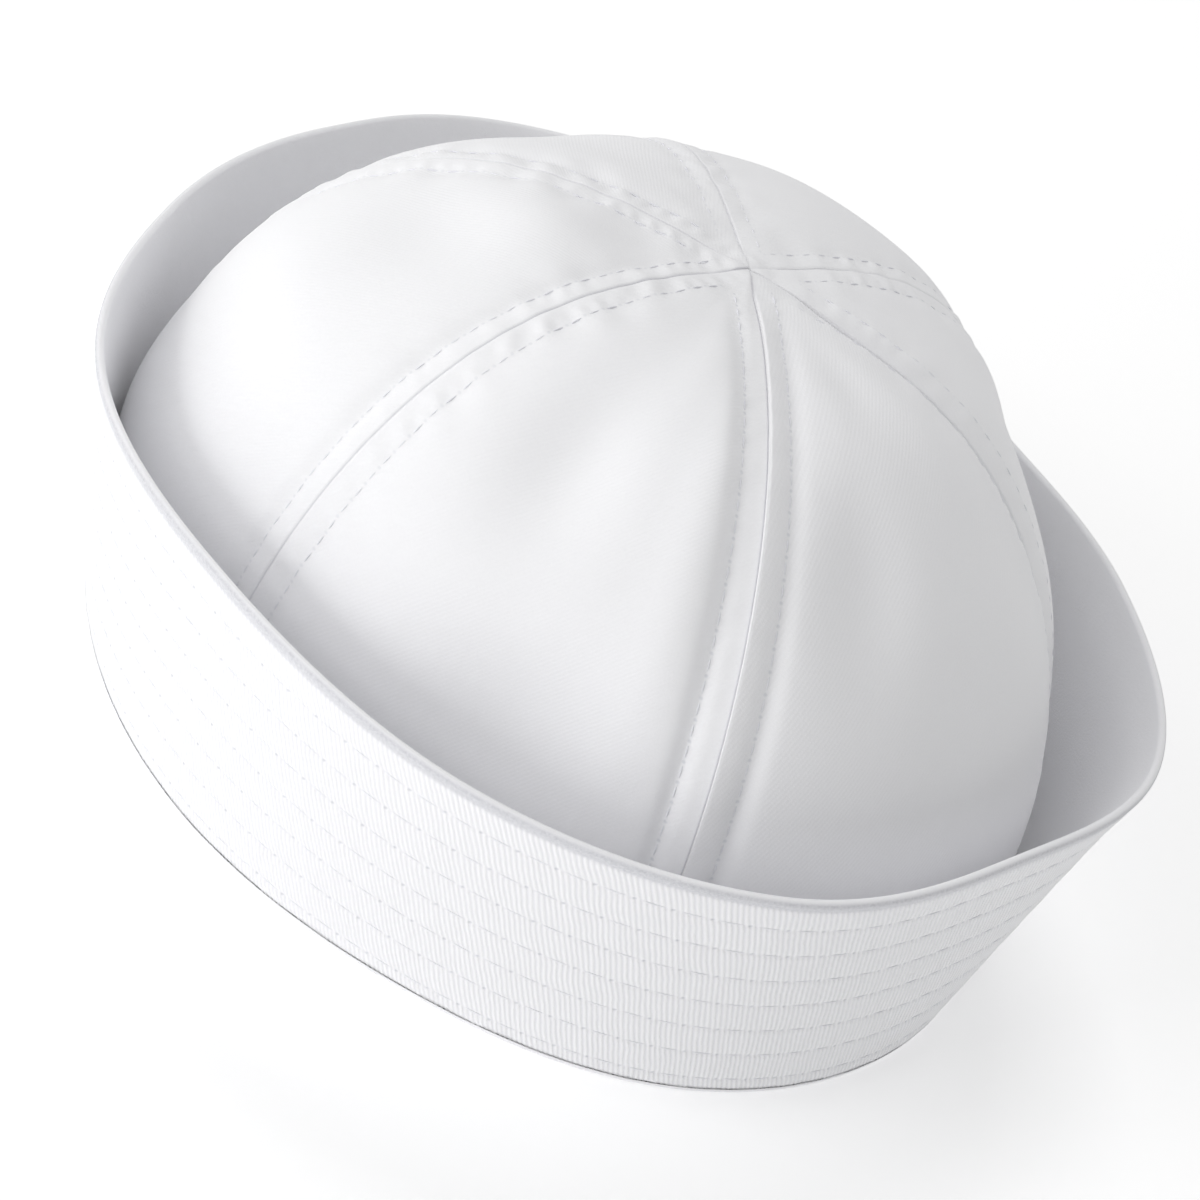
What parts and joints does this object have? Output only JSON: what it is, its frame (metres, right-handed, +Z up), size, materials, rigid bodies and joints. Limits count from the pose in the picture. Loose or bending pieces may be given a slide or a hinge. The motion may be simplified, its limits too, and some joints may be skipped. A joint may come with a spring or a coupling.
{
  "type": "sailor cap",
  "caption": "Round white cotton sailor cap: a domed crown sewn from gores that meet at a point, inside a deep turned-up quilted brim; it stands on its foot with the head hollow open below.",
  "frame": {"origin": "middle of the cap's outline, on the surface it stands on", "axes": "+Z up through the crown, +Y along the longer axis of the head opening"},
  "size_m": [0.2038, 0.226, 0.1168],
  "materials": {
    "crown_cloth": "bleached cotton twill, matt",
    "brim_cloth": "bleached ribbed cotton, matt, quilted in rows"
  },
  "bodies": {
    "root": {"crown_gore_1": "crown_cloth", "crown_gore_2": "crown_cloth", "crown_gore_3": "crown_cloth", "crown_gore_4": "crown_cloth", "crown_gore_5": "crown_cloth", "crown_gore_6": "crown_cloth", "brim": "brim_cloth"}
  },
  "joints": []
}
